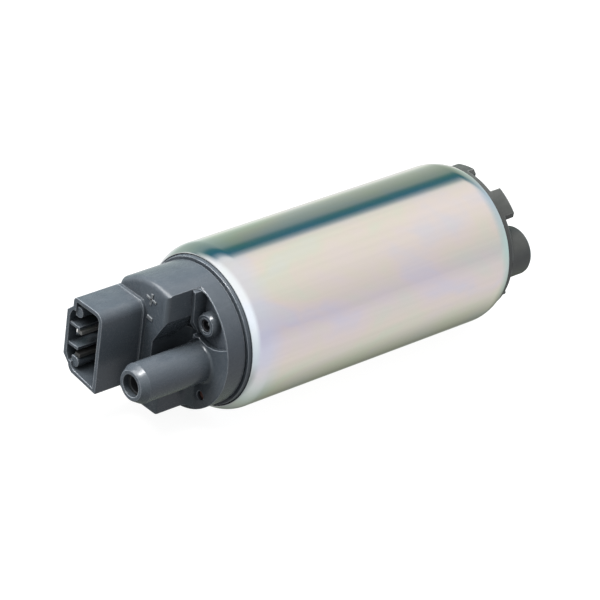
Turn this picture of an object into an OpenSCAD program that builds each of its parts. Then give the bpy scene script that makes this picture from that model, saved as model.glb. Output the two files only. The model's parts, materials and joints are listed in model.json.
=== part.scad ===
// Electric fuel pump, in-tank turbine type, lying on its side.
// The pump axis is X, the outlet and the connector point to +X, +Z is up.
// The origin is on the axis, in the plane of the can's outlet lip. Millimetres.

/* [Can] */
// Outside diameter of the steel can
can_d = 38; // [37:0.1:39]
// Length of the can from lip to lip
can_len = 77.6; // [74:0.1:84]
// Thickness of the can's wall
can_wall = 1.2; // [1:0.05:1.3]
// How far the outlet lip is rolled in past the can's bore
outlet_lip_turn = 0.5; // [0.4:0.05:0.7]
// How far the inlet lip is rolled in past the can's bore
inlet_lip_turn = 0.3; // [0.25:0.05:0.5]

/* [Outlet cover] */
// Diameter of the collar above the lip
collar_d = 32.6; // [32:0.1:33.4]
// Height of the collar's face above the lip
collar_h = 6; // [5:0.1:7]
// Height of the block's front face above the lip
block_h = 15; // [14.6:0.1:16.4]
// Distance of the block's side wall on the nozzle side from the axis
block_side = 5; // [4.6:0.1:5.1]
// Distance of the block's underside from the axis
block_under = 14.2; // [13.8:0.05:14.6]
// Radius on the block's upper front edge
block_round = 1.4; // [0.6:0.1:2]
// Depth of the pocket round the relief valve
pocket_depth = 4; // [3:0.1:4.5]
// Thickness of the pocket's outer wall
pocket_wall = 0.4; // [0.35:0.05:0.8]
// Length of the cover's spigot inside the can
spigot_len = 8.2; // [7.6:0.1:9]

/* [Connector] */
// Height of the socket's mouth above the lip
socket_h = 27; // [26:0.1:28]
// Width of the socket across the ribs
socket_w = 9.7; // [9.5:0.1:10]
// Length of the socket
socket_len = 19.6; // [19.2:0.1:20]
// Thickness of the socket's walls
socket_wall = 0.95; // [0.85:0.05:1.1]
// How far the key channel stands out of the socket
key_out = 1.8; // [1.5:0.1:2]
// Thickness of the two coding ribs
rib_t = 0.7; // [0.6:0.05:0.9]
// Width of a terminal blade
blade_w = 1.5; // [1.2:0.1:1.8]
// Thickness of a terminal blade
blade_t = 0.8; // [0.6:0.05:0.9]

/* [Outlet nozzle] */
// Height of the nozzle's mouth above the lip
nozzle_h = 25; // [24:0.1:26.5]
// Outside diameter of the nozzle
nozzle_d = 9.1; // [8.8:0.1:9.4]
// Bore of the nozzle
nozzle_bore = 5.2; // [5:0.1:5.6]
// Travel of the check valve
check_lift = 2; // [1:0.1:2.4]

/* [Relief valve] */
// Height of the relief valve's mouth above the lip
relief_h = 6.5; // [6.2:0.1:7.5]
// Diameter of the relief valve's tube
relief_d = 5.8; // [5.6:0.1:6]
// Bore of the relief valve's tube
relief_bore = 3.7; // [3.5:0.05:3.8]
// Diameter of the relief ball
relief_ball_d = 2.9; // [2.7:0.05:3.1]

/* [Brushes] */
// Width of a brush across the block
brush_w = 5; // [4.4:0.1:5.2]
// Thickness of a brush towards the axis
brush_t = 4; // [3.6:0.1:4.2]
// Length of a new brush
brush_len = 9; // [8:0.1:10]
// Travel that is left behind a new brush
brush_travel = 3; // [2:0.1:4]

/* [Motor] */
// Diameter of the shaft
shaft_d = 4; // [3.6:0.1:4.2]
// Radial running clearance of shaft and bushes
bush_gap = 0.03; // [0.02:0.005:0.06]
// Wall of a bearing bush
bush_wall = 1.8; // [1.4:0.1:2]
// Thickness of the magnets
magnet_t = 5; // [4.4:0.1:5.2]
// Arc of each magnet in degrees
magnet_arc = 132; // [120:1:140]
// Gap between the armature and the magnets
air_gap = 0.6; // [0.4:0.05:0.8]
// Length of the armature's iron core
core_len = 28; // [24:0.5:28.5]
// Number of poles on the armature
poles = 6; // [5:1:7]
// Diameter of the commutator
commutator_d = 22.8; // [22:0.1:23.2]
// Number of commutator segments
segments = 8; // [6:1:12]

/* [Turbine] */
// Diameter of the impeller
impeller_d = 30.4; // [29.6:0.1:31]
// Thickness of the impeller
impeller_t = 3.6; // [3:0.1:4]
// Number of vanes
vanes = 47; // [37:2:53]
// Radial length of the vane windows
vane_len = 2.4; // [2:0.1:2.8]
// Thickness of a vane
vane_t = 0.7; // [0.6:0.05:0.8]
// Slant of the vanes to the axis in degrees
vane_slant = 18; // [8:1:22]
// Thickness of the pump body behind the impeller
body_t = 7.8; // [7:0.1:8.6]

/* [Inlet cover] */
// How far the cover stands out of the can
cover_proud = 2; // [1.6:0.1:2.4]
// Height of the inlet port above the can's inlet lip
port_h = 8.1; // [6.5:0.1:9]
// Outside diameter of the inlet port
port_d = 11.6; // [11.2:0.1:12]
// Bore of the inlet port
port_bore = 8.2; // [7.6:0.1:8.8]
// Height of the large locating lug above the can's inlet lip
lug_h = 4.8; // [4:0.1:5.6]
// Height of the small locating lug above the can's inlet lip
small_lug_h = 3.8; // [3:0.1:4.2]

/* [Hidden] */
$fn = 64;

// Rings for each turn of a spring, and sides of its wire
spring_rings = 8;
spring_sides = 6;
// Play between a loose part and its seat, and between fixed parts that only lie together
play = 0.1;
seat = 0.02;
// Overlap that joins two solids of one piece
weld = 0.4;

can_r = can_d / 2;
bore_r = can_r - can_wall;
inlet_x = -can_len;

// The rolled ends of the can
roll_len = 4.1;
inlet_roll = 0.7;
lip_bevel = 0.9;
lip_edge = 0.3;
lip_flat = 0.1;
lip_points = 8;
lip_r = bore_r - outlet_lip_turn;
inlet_lip_r = bore_r - inlet_lip_turn;
lip_slope = 0.6;

// The outlet cover
collar_r = collar_d / 2;
ceiling = 1.5;
shoulder_r = lip_r - play;
shoulder_h = 0.75;
groove_h = 0.4;
groove_depth = 0.4;
shoulder_taper = 0.3;
shoulder_low = 0.3;
spigot_wall = 2.5;
seal_x = -5;
seal_in = bore_r - can_d / 20;
seal_w = bore_r - seal_in + play;
block_far = 10.6;
side_round = 0.5;
marker_hole = [8.8, -10.2];
marker_hole_r = 1.1;
marker_hole_depth = 3;
wall_cove = 2.3;

// The socket of the connector
socket_y = -block_far - 1;
socket_z = -8.8;
socket_floor = block_h + 1.2;
socket_corner = 2.3;
socket_far_corner = 1;
// Its lower edge rises towards the far side, and its far lower corner is rounded
socket_rise = 0.9;
socket_cut = 2.2;
key_low = 2.8;
key_high = 17.2;
key_slope = 1.7;
flange_h = 0.85;
flange_out = 0.45;
rib_reach = 3.2;
rib_z = [3.75, -1.3];
latch_x = [20.4, 24.6];
latch_z = [-0.2, 3.5];
stop_w = 1.9;
stop_h = 2.4;
stop_drop = 0.5;
rib_drop = 0.3;
blade_tip = socket_h - 0.7;
blade_foot = 12;
blade_y = socket_y + socket_wall + 0.35;
blade_z = [2.2, -3.5];

// The chokes behind the terminals
choke_y = -7.8;
choke_z = 4.4;
choke_r = 1.5;
choke_gap = 0.3;
choke_foot = 1.2;
choke_wire = 0.55;
choke_pitch = 0.8;

// The outlet nozzle and its check valve
nozzle = [7, -2.4];
nozzle_r = nozzle_d / 2;
nozzle_lead = 1.8;
nozzle_taper = 0.95;
nozzle_edge = 0.15;
nozzle_cove = 0.7;
// The recess beside it in the block
recess_gap = 1.05;
recess_y = nozzle[0] - nozzle_r - recess_gap;
recess_turn = 2.5;
recess_slope = 1.775;
recess_cove = 3.4;
recess_run = 9;
// The check valve
valve_bore_r = nozzle_bore / 2;
seat_x = 8;
seat_hole_r = 1.5;
poppet_r = valve_bore_r - 0.35;
poppet_head = 2.4;
poppet_nose = 0.7;
stem_r = 0.6;
retainer_x = nozzle_h - 5;
retainer_h = 3.5;
retainer_hub_h = 1.4;
retainer_hub_r = 1.15;
retainer_ring = 0.65;
spoke_w = 0.7;
check_spring_r = 1.55;
check_wire = 0.4;
check_turns = 7;

// The relief valve and the lower edge of its pocket
relief = [8.3, 7.45];
pocket_edge = [[block_side + 0.08, 4.6], [5.9, 3.3], [7.3, 2.6], [9.3, 2.5], [11.5, 2.85],
    [13.9, 3.9], [collar_r, 5.4]];
relief_r = relief_d / 2;
relief_bore_r = relief_bore / 2;
relief_seat_x = 0.8;
relief_hole_r = 1;
relief_nose = 0.45;
relief_cone = 1;
ball_r = relief_ball_d / 2;
ball_x = relief_seat_x + sqrt(ball_r * ball_r - relief_hole_r * relief_hole_r) + 0.02;
relief_plug = 1;
relief_spring_r = 1.15;
relief_wire = 0.25;
relief_turns = 3;
relief_plug_x = relief_h - 1.3;
relief_plug_in = 0.75;

// The bearing holder and the brushes
holder_t = 2.4;
holder_x = -spigot_len - holder_t;
holder_boss_x = -ceiling - 1.5;
holder_boss_t = 1;
commutator_gap = 2.8;
packed_len = 9.4;
brush_y = -1.5;
brush_z = 8;
guide_wall = 0.9;
guide_foot = 1.4;
way_rim = 4;
way_arc = 26;
commutator_x = holder_x - commutator_gap;
brush_gap = 0.05;
brush_top = commutator_x + brush_gap + brush_len;
brush_well = brush_top + brush_travel + packed_len;
brush_spring_r = 1.5;
brush_wire = 0.4;
brush_turns = 11;

// The bushes
shaft_r = shaft_d / 2;
bush_r = shaft_r + bush_gap;
bush_out = bush_r + bush_wall;
boss_wall = 1;
bush_in = 0.2;
shaft_play = 0.3;
bush_step = 0.8;

// The turbine end, counted from the inlet lip
cover_t = 6.7;
chamber_in = inlet_x + cover_t;
side_gap = 0.1;
chamber_out = chamber_in + impeller_t + 2 * side_gap;
body_x = chamber_out + body_t;
rim_gap = 0.2;
impeller_r = impeller_d / 2;
chamber_r = impeller_r + rim_gap;
vane_out = impeller_r - 0.8;
vane_in = vane_out - vane_len;
channel_r = (vane_out + vane_in) / 2;
channel_half = vane_len / 2 + 0.1;
channel_arc = 300;
channel_from = channel_arc / 10 - 90;
outlet_turn = 150;
outlet_hole_r = channel_half + 0.5;
inlet_turn = 4;
inlet_hole_r = 2.2;
hub_r = 5;
balance_r = 4.4;
balance_hole_r = 0.7;
balance_arc = 22;
balance_depth = 2.6;
flat_depth = 0.5;
pad_t = 1.5;
pad_r = 2.6;
shaft_foot = chamber_in - 0.2;
cover_face = inlet_x - cover_proud;
port_r = port_d / 2;
port_at = [inlet_lip_r - play - port_r, 1.1];
port_round = 0.9;
lug_arc = [41.5, 66.5];
small_lug_arc = [90.5, 110];
lug_depth = 3;
lug_bevel = 1.5;
nub_angle = -26.5;
nub_r = 0.6;
nub_h = 1.3;
vent_r = 0.6;
vent_in = 1.6;
vent_turn = 200;

// The rotor and the magnets
commutator_r = commutator_d / 2;
segment_t = 1.4;
segment_gap = 0.5;
segment_in = 3.9;
tang_out = 0.4;
tang_w = 1.6;
tang_len = 1.4;
base_t = 4.4;
magnet_back = 9.8;
magnet_out = bore_r - 0.2;
magnet_in = magnet_out - magnet_t;
core_r = magnet_in - air_gap;
magnet_x = [body_x + 0.3, holder_x - magnet_back];
core_mid = (body_x + commutator_x - segment_t - base_t) / 2;
core_x = core_mid - core_len / 2;
hub_core_r = core_r * 0.417;
tooth_w = core_r * 0.35;
shoe_t = core_r / 8;
shoe_arc = 360 / poles - 11;
bobbin_wall = 0.5;
bobbin_half = tooth_w / 2 + bobbin_wall;
bobbin_end = 0.3;
coil_edge = 0.35;
coil_gap = 0.6;
coil_in = core_r * 0.525;
coil_out = (core_r - shoe_t - 2 * play) * cos(180 / poles);
clip_t = 0.5;
clip_arc = 180 - magnet_arc - 4;
washer_t = 0.5;
washer_r = 3.6;

// Lays a flat outline drawn in Y and Z out along X, from x0 to x1
module along(x0, x1) {
    translate([x0, 0, 0]) rotate([90, 0, 90]) linear_extrude(x1 - x0) children();
}
// Turns a profile drawn as radius and station on X round the axis at y, z
module turned(at = [0, 0], arc = 360, from = 0) {
    translate([0, at[0], at[1]]) rotate([from, 0, 0]) rotate([0, 90, 0])
        rotate_extrude(angle = arc) children();
}
// A straight round bar along X
module bar(r, x0, x1, at = [0, 0]) {
    translate([x0, at[0], at[1]]) rotate([0, 90, 0]) cylinder(r = r, h = x1 - x0);
}
// A pie slice between two angles, in Y and Z
module slice(a0, a1, r = 2 * can_r) {
    mid = (a0 + a1) / 2;
    polygon([[0, 0], [r * cos(a0), r * sin(a0)], [r * cos(mid), r * sin(mid)],
        [r * cos(a1), r * sin(a1)]]);
}
// A rectangle between two corners
module box2(a, b) {
    translate(a) square(b - a);
}
// A flat ring
module ring2(r_out, r_in) {
    difference() {
        circle(r_out);
        circle(r_in);
    }
}
// Points of a lip rolled from radius r0 at x0 in to r1 at x1, starting along the axis
function roll(r0, x0, r1, x1, n = 5) =
    let (sag = r0 - r1, run = x1 - x0, big = (run * run + sag * sag) / (2 * sag),
         turn = asin(abs(run) / big))
    [for (i = [0:n]) [r0 - big * (1 - cos(turn * i / n)), x0 + sign(run) * big * sin(turn * i / n)]];
function reversed(list) = [for (i = [len(list) - 1:-1:0]) list[i]];
// Points of a quarter round of radius r about a centre, from angle a0 to a1
function round_to(c, r, a0, a1, n = 5) =
    [for (i = [0:n]) let (a = a0 + (a1 - a0) * i / n) [c[0] + r * cos(a), c[1] + r * sin(a)]];
// The fillet in the corner of two walls, its corner at 0, 0 and a foot let into both
module cove(r, n = 5) {
    polygon(concat([[-weld, -weld], [r, -weld]], round_to([r, r], r, -90, -180, n), [[-weld, r]]));
}

// A helical spring along X: mean radius, wire diameter, ends and number of turns
function coil_point(r, x0, x1, turns, i) =
    let (t = i / (turns * spring_rings), a = 360 * turns * t)
    [x0 + (x1 - x0) * t, r * cos(a), r * sin(a)];
function coil_ring(r, wire, x0, x1, turns, i) =
    let (p = coil_point(r, x0, x1, turns, i), a = 360 * i / spring_rings,
         out = [0, cos(a), sin(a)],
         rise = (x1 - x0) / (2 * PI * r * turns), len = sqrt(1 + rise * rise),
         up = [1, rise * sin(a), -rise * cos(a)] / len)
    [for (k = [0:spring_sides - 1]) let (b = 360 * k / spring_sides)
        p + wire / 2 * (cos(b) * out + sin(b) * up)];
module coil_spring(r, wire, x0, x1, turns, at) {
    last = turns * spring_rings;
    n = spring_sides;
    points = [for (i = [0:last]) each coil_ring(r, wire, x0, x1, turns, i)];
    walls = [for (i = [0:last - 1], k = [0:n - 1]) let (a = i * n + k, b = i * n + (k + 1) % n)
        each [[a, b, b + n], [a, b + n, a + n]]];
    caps = [for (k = [1:n - 2]) each [[0, k + 1, k], [last * n, last * n + k, last * n + k + 1]]];
    near = [for (i = [0:last], j = [i + 1:last]) if (j - i > spring_rings / 2)
        norm(coil_point(r, x0, x1, turns, i) - coil_point(r, x0, x1, turns, j)) - wire];
    echo("least gap between the turns", min(near));
    translate([0, at[0], at[1]]) polyhedron(points, concat(walls, caps));
}

module housing_can() {
    color("lightsteelblue") turned() polygon(concat(
        [[inlet_lip_r, inlet_x], [can_r - inlet_roll - lip_edge, inlet_x]],
        reversed(roll(can_r, inlet_x + roll_len, can_r - inlet_roll, inlet_x + lip_edge)),
        roll(can_r, -roll_len, lip_r + lip_flat, 0, lip_points),
        [[lip_r, 0], [lip_r, -lip_bevel], [bore_r, -lip_bevel - lip_slope],
         [bore_r, inlet_x + lip_bevel + lip_slope], [inlet_lip_r, inlet_x + lip_bevel]]));
}

// Outline of the block that carries the connector, in Y and Z
module block_outline() {
    intersection() {
        circle(collar_r);
        union() {
            box2([-block_far, -block_under], [block_side, collar_r]);
            key_outline();
        }
    }
}
// The space beside the nozzle, cut out of the block, in Y and Z
module recess_outline() {
    right = block_side + weld;
    translate(nozzle) circle(nozzle_r + recess_gap);
    polygon([[recess_y, nozzle[1]], [recess_y, recess_turn],
        [right, recess_turn + recess_slope * (right - recess_y)], [right, nozzle[1]]]);
}
// Outline of the key channel beside the socket, or of its inside, w smaller all round
module key_outline(w = 0) {
    back = socket_y + socket_wall + (w > 0 ? play : -play);
    low = socket_z + key_low + 0.9 * w;
    high = socket_z + key_high - 0.9 * w;
    polygon([[back, low], [socket_y, low], [socket_y - key_out + w, low + key_slope],
        [socket_y - key_out + w, high - key_slope], [socket_y, high], [back, high]]);
}
// Outline of the socket, grown or shrunk by d all round
module socket_outline(d = 0) {
    y0 = socket_y - d;
    y1 = socket_y + socket_w + d;
    z0 = socket_z - d;
    z1 = socket_z + socket_len + d;
    near = socket_corner + d;
    far = max(0.2, socket_far_corner + d);
    cut = socket_cut + 0.6 * d;
    polygon(concat([[y1, z0]], round_to([y1 - near, z1 - near], near, 0, 90),
        round_to([y0 + far, z1 - far], far, 90, 180, 3),
        round_to([y0 + cut, z0 + socket_rise + cut], cut, 180, 250, 4)));
}
module block() {
    x0 = collar_h - weld;
    difference() {
        intersection() {
            along(x0, block_h) difference() {
                block_outline();
                recess_outline();
            }
            turned() polygon(concat([[0, x0 - 1], [collar_r + 1, x0 - 1], [collar_r + 1, collar_h],
                [collar_r, collar_h]], round_to([collar_r - block_round, block_h - block_round],
                block_round, 0, 90), [[0, block_h]]));
        }
        // The rounded front edge of the side wall
        translate([0, 0, -block_under - 1]) linear_extrude(2 * collar_r + 2) polygon(concat(
            [[block_h + 1, block_side + 1], [block_h - side_round, block_side + 1]],
            round_to([block_h - side_round, block_side - side_round], side_round, 90, 0),
            [[block_h + 1, block_side - side_round]]));
    }
    // The fillets between the walls and the collar's face
    intersection() {
        along(x0, block_h) difference() {
            circle(collar_r - play);
            recess_outline();
        }
        translate([collar_h, block_side, -block_under])
            linear_extrude(2 * block_under + 2) cove(wall_cove);
    }
    intersection() {
        along(x0, block_h) recess_outline();
        translate([collar_h, recess_y, nozzle[1] - 2])
            linear_extrude(recess_run) cove(recess_cove);
    }
}
// Outline of the pocket round the relief valve, in Y and Z
module pocket_outline() {
    intersection() {
        circle(collar_r - pocket_wall);
        polygon(concat([[pocket_edge[0][0], collar_r]], pocket_edge, [[collar_r, collar_r]]));
    }
}
module socket_shell() {
    difference() {
        union() {
            along(block_h - weld, socket_h) socket_outline();
            along(block_h - weld, socket_h) key_outline();
            along(block_h - weld, block_h + flange_h) intersection() {
                socket_outline(flange_out);
                box2([-block_far, socket_z - 1], [block_side, socket_z + socket_len + 0.15]);
            }
        }
        along(socket_floor, socket_h + 1) socket_outline(-socket_wall);
        along(socket_floor, socket_h + 1) key_outline(socket_wall);
        // The latch window in the key channel's outer wall
        translate([latch_x[0], socket_y - key_out - 1, latch_z[0]])
            cube([latch_x[1] - latch_x[0], 1 + 2 * socket_wall, latch_z[1] - latch_z[0]]);
    }
    // The two coding ribs
    for (z = rib_z)
        translate([socket_floor - weld, socket_y - key_out + socket_wall - weld, z - rib_t / 2])
            cube([socket_h - socket_floor + weld - rib_drop, rib_reach + weld, rib_t]);
    // The stops at the ends of the key channel
    for (z = [socket_z + key_low - 0.2, socket_z + key_high + 0.2 - stop_h])
        along(socket_floor - weld, socket_h - stop_drop) translate([socket_y + socket_wall, z]) {
            box2([-weld, 0], [stop_w - stop_h / 2, stop_h]);
            translate([stop_w - stop_h / 2, stop_h / 2]) circle(stop_h / 2);
        }
}
// Blade blank, grown by d for the slot that holds it
module blade(z, d = 0) {
    translate([blade_foot - d, blade_y - d, z - d])
        cube([blade_tip - blade_foot + d, blade_w + 2 * d, blade_t + 2 * d]);
}
module outlet_cover() {
    color("slategray") difference() {
        union() {
            difference() {
                union() {
                    turned() polygon([[0, -ceiling], [bore_r - spigot_wall, -ceiling],
                        [bore_r - spigot_wall, -spigot_len], [bore_r - play, -spigot_len],
                        [bore_r - play, -lip_bevel - lip_slope - play],
                        [shoulder_r, -lip_bevel - play], [shoulder_r, -shoulder_low],
                        [shoulder_r - shoulder_taper, shoulder_h],
                        [collar_r - groove_depth, shoulder_h],
                        [collar_r - groove_depth, shoulder_h + groove_h],
                        [collar_r, shoulder_h + groove_h], [collar_r, collar_h], [0, collar_h]]);
                    block();
                }
                along(collar_h - pocket_depth, collar_h + wall_cove + 1) pocket_outline();
            }
            nozzle_tube();
            relief_tube();
            socket_shell();
        }
        // The groove of the seal
        turned() box2([seal_in, seal_x - seal_w / 2], [bore_r + 1, seal_x + seal_w / 2]);
        // The check valve's bore, its seat hole and its mouth
        bar(valve_bore_r, seat_x, nozzle_h + 1, nozzle);
        bar(seat_hole_r, -ceiling - 1, seat_x + 1, nozzle);
        // The relief valve's bore and seat hole
        bar(relief_bore_r, relief_seat_x, relief_h + 1, relief);
        bar(relief_hole_r, -ceiling - 1, relief_seat_x + 1, relief);
        // The blind hole in the collar
        bar(marker_hole_r, collar_h - marker_hole_depth, collar_h + 1, marker_hole);
        // The wells of the brushes, the chokes and the slots of the blades
        for (side = [-1, 1]) {
            along(-ceiling - 1, brush_well) brush_outline(side, play);
            bar(choke_r + choke_gap, -ceiling - 1, blade_foot + 0.5, [choke_y, side * choke_z]);
        }
        blade(blade_z[0], seat);
        blade(blade_z[1], seat);
    }
}
module nozzle_tube() {
    x0 = collar_h - pocket_depth - play;
    turned(nozzle) polygon(concat([[0, x0], [nozzle_r + nozzle_cove, x0],
        [nozzle_r + nozzle_cove, collar_h]],
        round_to([nozzle_r + nozzle_cove, collar_h + nozzle_cove], nozzle_cove, -90, -180),
        [[nozzle_r, nozzle_h - nozzle_lead], [nozzle_r - nozzle_taper, nozzle_h - nozzle_edge],
        [nozzle_r - nozzle_taper - nozzle_edge, nozzle_h], [0, nozzle_h]]));
}
module relief_tube() {
    turned(relief) polygon([[0, collar_h - pocket_depth - 1], [relief_r, collar_h - pocket_depth - 1],
        [relief_r, relief_h - relief_cone], [relief_r - relief_nose, relief_h], [0, relief_h]]);
}
// The rubber seal between the cover and the can
module cover_seal() {
    r = (bore_r - seal_in) / 2 - seat;
    color("darkslategray") turned() translate([(bore_r + seal_in) / 2, seal_x]) circle(r);
}
module positive_terminal() {
    color("darkkhaki") blade(blade_z[0]);
}
module negative_terminal() {
    color("darkkhaki") blade(blade_z[1]);
}
// A choke: a ferrite rod with its winding
module choke(side) {
    at = [choke_y, side * choke_z];
    rod_top = blade_foot - 0.6;
    color("sienna") union() {
        bar(choke_r - choke_wire, choke_foot - 1, rod_top, at);
        for (x = [choke_foot:choke_pitch:rod_top - 1.2]) bar(choke_r, x, x + choke_wire, at);
    }
}
module positive_choke() {
    choke(1);
}
module negative_choke() {
    choke(-1);
}
// The ring pressed into the nozzle's mouth, its spokes and the guide of the poppet's stem
module check_valve_retainer() {
    color("dimgray") union() {
        along(retainer_x, retainer_x + retainer_h) translate(nozzle)
            ring2(valve_bore_r - seat, valve_bore_r - retainer_ring);
        along(retainer_x, retainer_x + retainer_hub_h) translate(nozzle) difference() {
            union() {
                circle(retainer_hub_r);
                for (a = [90, 210, 330]) rotate(a)
                    box2([0, -spoke_w / 2], [valve_bore_r - retainer_ring / 2, spoke_w / 2]);
            }
            circle(stem_r + play);
        }
    }
}
module check_valve_poppet() {
    x0 = seat_x + seat;
    stem_end = retainer_x + retainer_hub_h;
    rim = x0 + poppet_head / 3;
    color("ivory") turned(nozzle) polygon([[0, x0 - poppet_nose], [seat_hole_r - 0.5, x0 - poppet_nose],
        [seat_hole_r - 0.15, x0], [poppet_r, x0], [poppet_r, rim],
        [poppet_r - 1.1, x0 + poppet_head], [stem_r, x0 + poppet_head], [stem_r, stem_end],
        [0, stem_end]]);
}
module check_valve_spring() {
    color("silver") coil_spring(check_spring_r, check_wire, seat_x + poppet_head - check_wire / 2,
        retainer_x - check_wire, check_turns, nozzle);
}
module relief_valve_retainer() {
    color("darkgoldenrod") along(relief_plug_x, relief_plug_x + relief_plug) translate(relief)
        ring2(relief_bore_r - seat, relief_bore_r - relief_plug_in);
}
module relief_valve_ball() {
    color("silver") translate([ball_x, relief[0], relief[1]]) sphere(ball_r);
}
module relief_valve_spring() {
    color("silver") coil_spring(relief_spring_r, relief_wire, ball_x + ball_r * 0.86,
        relief_plug_x - relief_wire, relief_turns, relief);
}

// Outline of a brush, grown by d, in Y and Z
module brush_outline(side, d = 0) {
    z = side * brush_z;
    box2([brush_y - brush_w / 2 - d, z - brush_t / 2 - d], [brush_y + brush_w / 2 + d, z + brush_t / 2 + d]);
}
module brush(side) {
    x0 = commutator_x + brush_gap;
    color("black") along(x0, brush_top) brush_outline(side);
}
module brush_a() {
    brush(1);
}
module brush_b() {
    brush(-1);
}
module brush_spring(side) {
    color("silver") coil_spring(brush_spring_r, brush_wire, brush_top + brush_wire,
        brush_well - brush_wire, brush_turns, [brush_y, side * brush_z]);
}
module brush_spring_a() {
    brush_spring(1);
}
module brush_spring_b() {
    brush_spring(-1);
}
// The moulding under the cover that holds the outlet bush and guides the brushes
module bearing_holder() {
    color("beige") difference() {
        union() {
            along(holder_x, holder_x + holder_t) circle(bore_r - 2 * play);
            along(holder_x, holder_boss_x) circle(bush_out + boss_wall);
            for (side = [-1, 1])
                along(holder_x - guide_foot, -ceiling - 0.2) brush_outline(side, play + guide_wall);
        }
        along(holder_x - guide_foot - 1, 0) for (side = [-1, 1]) brush_outline(side, play);
        bar(bush_out + seat, holder_x - 1, holder_boss_x - holder_boss_t);
        bar(shaft_r + shaft_play, holder_x - 1, 0);
        // The fuel's way past the holder
        for (a = [-12, 168]) along(holder_x - 1, holder_x + holder_t + 1) intersection() {
            ring2(bore_r - way_rim, bush_out + boss_wall + way_rim / 2);
            rotate(a) slice(-way_arc, way_arc);
        }
    }
}
module bush(x0, x1) {
    color("peru") along(x0, x1) ring2(bush_out, bush_r);
}
module outlet_bearing() {
    bush(holder_x + bush_in, holder_boss_x - holder_boss_t - play);
}
module inlet_bearing() {
    bush(chamber_out + bush_step, body_x - 2 * bush_in);
}

// One arc magnet, its middle at angle a
module magnet(a) {
    color("dimgray") along(magnet_x[0], magnet_x[1]) intersection() {
        ring2(magnet_out, magnet_in);
        rotate(a) slice(-magnet_arc / 2, magnet_arc / 2);
    }
}
module magnet_upper() {
    magnet(90);
}
module magnet_lower() {
    magnet(-90);
}
// The two bow springs that wedge the magnets apart against the can
module magnet_clips() {
    x0 = magnet_x[0] + 3;
    x1 = magnet_x[1] - 3;
    color("silver") for (a = [0, 180]) along(x0, x1) rotate(a) {
        intersection() {
            ring2(magnet_out, magnet_out - clip_t);
            slice(-clip_arc / 2, clip_arc / 2);
        }
        for (s = [-1, 1]) rotate(s * (clip_arc / 2 - 0.9))
            box2([magnet_out - 3.4, -clip_t / 2], [magnet_out - clip_t / 2, clip_t / 2]);
    }
}

// The shaft's round with its flat at the impeller
module rotor_shaft() {
    color("silver") difference() {
        bar(shaft_r, shaft_foot, holder_boss_x - 0.6);
        translate([shaft_foot - 1, shaft_r - flat_depth, -shaft_r])
            cube([chamber_out - shaft_foot + 1, shaft_r, 2 * shaft_r]);
    }
}
module armature_core() {
    color("gray") along(core_x, core_x + core_len) difference() {
        union() {
            circle(hub_core_r);
            for (i = [0:poles - 1]) rotate(90 + i * 360 / poles) {
                box2([0, -tooth_w / 2], [core_r - shoe_t / 2, tooth_w / 2]);
                intersection() {
                    ring2(core_r, core_r - shoe_t);
                    slice(-shoe_arc / 2, shoe_arc / 2);
                }
            }
        }
        circle(shaft_r + seat);
    }
}
// Outline of a bobbin seen along its tooth
module stadium(half) {
    box2([core_x, -half], [core_x + core_len, half]);
    for (x = [core_x, core_x + core_len]) translate([x, 0]) circle(half);
}
// One insulating former and one coil for each tooth
module coil_bobbins() {
    color("whitesmoke") for (i = [0:poles - 1]) rotate([i * 360 / poles, 0, 0]) difference() {
        translate([0, 0, coil_in - bobbin_end])
            linear_extrude(coil_out - coil_in + 2 * bobbin_end) stadium(bobbin_half);
        translate([core_x - seat, -tooth_w / 2 - seat, 0])
            cube([core_len + 2 * seat, tooth_w + 2 * seat, core_r]);
    }
}
// Section of one side of a coil, as distance from the tooth's middle and radius
module coil_section() {
    near = bobbin_half + seat;
    wedge = tan(180 / poles);
    polygon([[near, coil_in], [max(near + bobbin_end, coil_in * wedge - coil_edge), coil_in],
        [coil_out * wedge - coil_gap, coil_out], [near, coil_out]]);
}
module armature_windings() {
    color("chocolate") for (i = [0:poles - 1]) rotate([i * 360 / poles, 0, 0]) {
        for (s = [0, 1]) mirror([0, s, 0]) along(core_x, core_x + core_len) coil_section();
        translate([core_x + core_len, 0, 0]) rotate([0, 0, -90]) rotate_extrude(angle = 180) coil_section();
        translate([core_x, 0, 0]) rotate([0, 0, 90]) rotate_extrude(angle = 180) coil_section();
    }
}
module commutator_base() {
    x1 = commutator_x - segment_t;
    color("saddlebrown") along(x1 - base_t, x1) ring2(commutator_r - 0.2, shaft_r + seat);
}
// The flat segments, each with the tang that its coil is fused to
module commutator_segments() {
    pitch = 360 / segments;
    color("darkorange") along(commutator_x - segment_t, commutator_x)
        for (i = [0:segments - 1]) rotate(i * pitch) {
            intersection() {
                ring2(commutator_r, segment_in);
                translate([segment_gap / 2 / sin(pitch / 2), 0]) slice(-pitch / 2, pitch / 2);
            }
            box2([commutator_r + tang_out - tang_len, -tang_w / 2], [commutator_r + tang_out, tang_w / 2]);
        }
}
module thrust_washers() {
    color("tan") for (x = [holder_x - 0.9, body_x + 0.3])
        along(x, x + washer_t) ring2(washer_r, shaft_r + seat);
}

// One side of a vane window: a slanted slot from the middle plane out to one face
module vane_slot(side) {
    gap = 2 * PI * vane_in / vanes - vane_t;
    rotate([0, 0, side * vane_slant]) translate([side > 0 ? -0.05 : -impeller_t, -gap / 2, vane_in])
        cube([impeller_t + 0.05, gap, vane_len]);
}
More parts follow.
